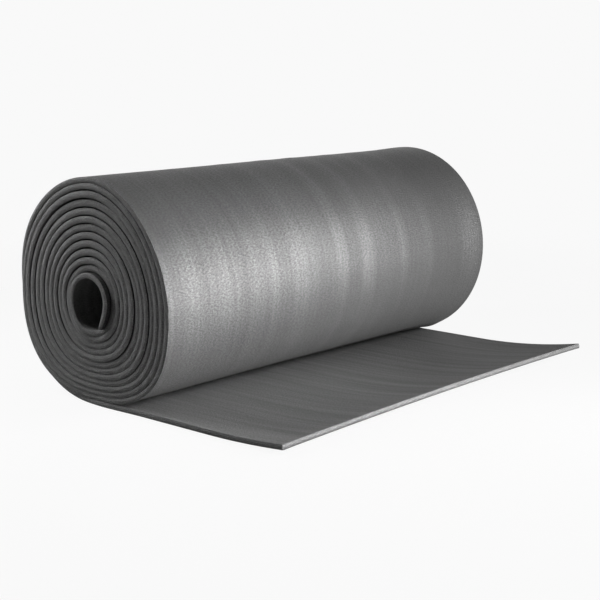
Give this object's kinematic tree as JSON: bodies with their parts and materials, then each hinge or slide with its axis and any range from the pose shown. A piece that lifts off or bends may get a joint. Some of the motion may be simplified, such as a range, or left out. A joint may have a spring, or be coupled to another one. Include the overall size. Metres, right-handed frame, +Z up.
{
  "type": "foam insulation roll",
  "caption": "Roll of flexible closed-cell foam insulation sheet, wound with an open heart and slack between its turns, its outer end unrolled flat on the floor in front of it.",
  "frame": {"origin": "on the floor, under the middle of the whole object's box: half-way along the roll, and half-way from the back of the roll to the cut edge of the free end", "axes": "+X along the roll, across the sheet's width; -Y the way the free end lies unrolled; +Z up from the floor"},
  "size_m": [1, 0.7311, 0.447],
  "materials": {
    "foam": "dark grey closed-cell polyethylene foam: satin grained skin on the outside, matter inside, open cells on the cut edges"
  },
  "bodies": {
    "root": {"foam_roll": "foam"}
  },
  "joints": []
}
